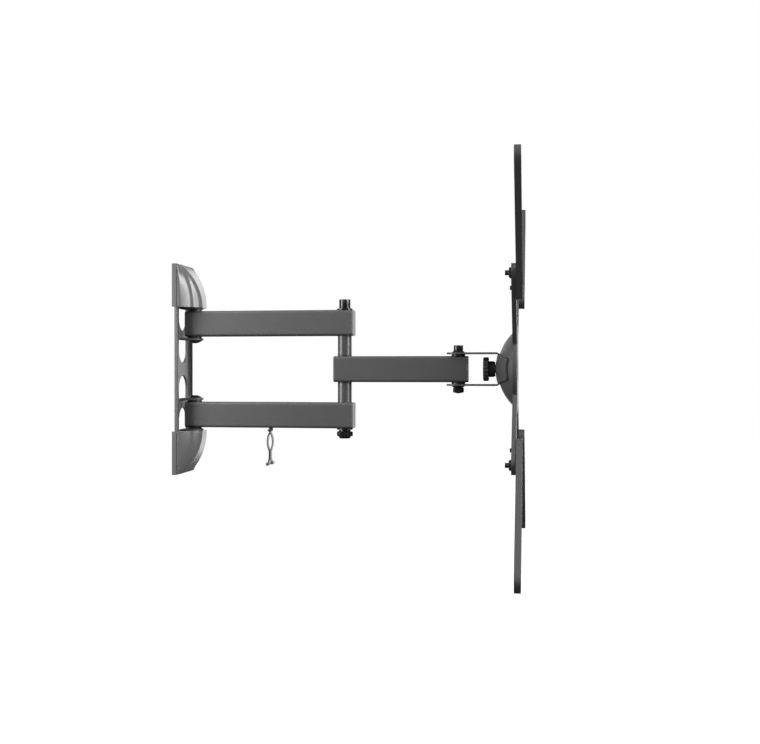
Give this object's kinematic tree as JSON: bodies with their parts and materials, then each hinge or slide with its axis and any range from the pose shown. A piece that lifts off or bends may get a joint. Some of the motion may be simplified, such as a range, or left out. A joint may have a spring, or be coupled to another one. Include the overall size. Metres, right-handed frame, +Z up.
{
  "type": "full motion tv wall mount",
  "caption": "Articulated television wall bracket with a double rear arm, a forearm, a tilting ball head and adjustable diagonal extension arms.",
  "frame": {"origin": "centre of the wall plate's back face, on the wall's surface", "axes": "+X out from the wall towards the television, +Y sideways, +Z up"},
  "size_m": [0.4041, 0.422, 0.422],
  "materials": {
    "powder_coat": "fine-grained charcoal powder coat",
    "head_coat": "fine-grained charcoal powder coat on the pressed head parts",
    "cover_plastic": "semi-gloss moulded cover",
    "plug_plastic": "moulded end plugs",
    "black_nylon": "black nylon bushes",
    "black_steel": "black oxide fasteners, semi-gloss",
    "knob_plastic": "black moulded grip",
    "brass": "plain brass insert",
    "clip_plastic": "flexible dark grey strip"
  },
  "bodies": {
    "wall_unit": {"wall_plate": "powder_coat", "top_cover": "cover_plastic", "bottom_cover": "cover_plastic", "wall_pivot_bolts": "black_steel", "wall_pivot_nuts": "black_steel"},
    "rear_arms": {"upper_arm": "powder_coat", "lower_arm": "powder_coat", "rear_arm_plugs": "plug_plastic", "wall_pivot_bushes": "black_nylon", "elbow_bolt": "black_steel", "elbow_nut": "black_steel", "elbow_washers": "black_steel", "elbow_spacers": "powder_coat"},
    "clip": {"cable_clip": "clip_plastic"},
    "front_arm": {"forearm": "powder_coat", "forearm_plugs": "plug_plastic", "elbow_bushes": "black_nylon", "head_bushes": "black_nylon"},
    "swivel": {"swivel_bracket": "head_coat", "head_pivot_bolt": "black_steel", "head_pivot_nut": "black_steel", "head_pivot_washers": "black_steel", "knob_washer": "black_steel"},
    "knob": {"tilt_knob": "knob_plastic", "knob_insert": "brass"},
    "tilt_clamp": {"tilt_bolt": "black_steel", "clamp_washer": "black_steel"},
    "head": {"tilt_dome": "head_coat", "centre_plate": "head_coat"},
    "top_right_pivot": {"top_right_clamp_bolt": "black_steel", "top_right_clamp_nut": "black_steel"},
    "top_right_extension": {"top_right_arm": "head_coat"},
    "bottom_right_pivot": {"bottom_right_clamp_bolt": "black_steel", "bottom_right_clamp_nut": "black_steel"},
    "bottom_right_extension": {"bottom_right_arm": "head_coat"},
    "bottom_left_pivot": {"bottom_left_clamp_bolt": "black_steel", "bottom_left_clamp_nut": "black_steel"},
    "bottom_left_extension": {"bottom_left_arm": "head_coat"},
    "top_left_pivot": {"top_left_clamp_bolt": "black_steel", "top_left_clamp_nut": "black_steel"},
    "top_left_extension": {"top_left_arm": "head_coat"}
  },
  "joints": [
    {"name": "wall_swivel", "type": "hinge", "parent": "wall_unit", "child": "rear_arms", "pos_m": [0.0171, 0, 0], "axis": [0, 0, 1], "range_deg": [-90, 90]},
    {"name": "elbow_swivel", "type": "hinge", "parent": "rear_arms", "child": "front_arm", "pos_m": [0.1983, 0, 0], "axis": [0, 0, -1], "range_deg": [-155, 155]},
    {"name": "head_swivel", "type": "hinge", "parent": "front_arm", "child": "swivel", "pos_m": [0.3303, 0, 0], "axis": [0, 0, 1], "range_deg": [-90, 90]},
    {"name": "screen_level", "type": "hinge", "parent": "swivel", "child": "tilt_clamp", "pos_m": [0.4324, 0, 0], "axis": [1, 0, 0], "range_deg": [-3, 3]},
    {"name": "tilt", "type": "hinge", "parent": "tilt_clamp", "child": "head", "pos_m": [0.4324, 0, 0], "axis": [0, 1, 0], "range_deg": [-20, 20]},
    {"name": "knob_turn", "type": "hinge", "parent": "swivel", "child": "knob", "pos_m": [0.362, 0, 0], "axis": [1, 0, 0], "continuous": true},
    {"name": "clip_turn", "type": "hinge", "parent": "rear_arms", "child": "clip", "pos_m": [0.11, 0, -0.0686], "axis": [0, 0, 1], "continuous": true},
    {"name": "top_right_swing", "type": "hinge", "parent": "head", "child": "top_right_pivot", "pos_m": [0.3975, 0.1, 0.1], "axis": [1, 0, 0], "range_deg": [-45, 45]},
    {"name": "top_right_slide", "type": "slide", "parent": "top_right_pivot", "child": "top_right_extension", "axis": [0, 0.7071, 0.7071], "range_m": [-0.1, 0]},
    {"name": "bottom_right_swing", "type": "hinge", "parent": "head", "child": "bottom_right_pivot", "pos_m": [0.3975, 0.1, -0.1], "axis": [1, 0, 0], "range_deg": [-45, 45]},
    {"name": "bottom_right_slide", "type": "slide", "parent": "bottom_right_pivot", "child": "bottom_right_extension", "axis": [0, 0.7071, -0.7071], "range_m": [-0.1, 0]},
    {"name": "bottom_left_swing", "type": "hinge", "parent": "head", "child": "bottom_left_pivot", "pos_m": [0.3975, -0.1, -0.1], "axis": [1, 0, 0], "range_deg": [-45, 45]},
    {"name": "bottom_left_slide", "type": "slide", "parent": "bottom_left_pivot", "child": "bottom_left_extension", "axis": [0, -0.7071, -0.7071], "range_m": [-0.1, 0]},
    {"name": "top_left_swing", "type": "hinge", "parent": "head", "child": "top_left_pivot", "pos_m": [0.3975, -0.1, 0.1], "axis": [1, 0, 0], "range_deg": [-45, 45]},
    {"name": "top_left_slide", "type": "slide", "parent": "top_left_pivot", "child": "top_left_extension", "axis": [0, -0.7071, 0.7071], "range_m": [-0.1, 0]}
  ]
}
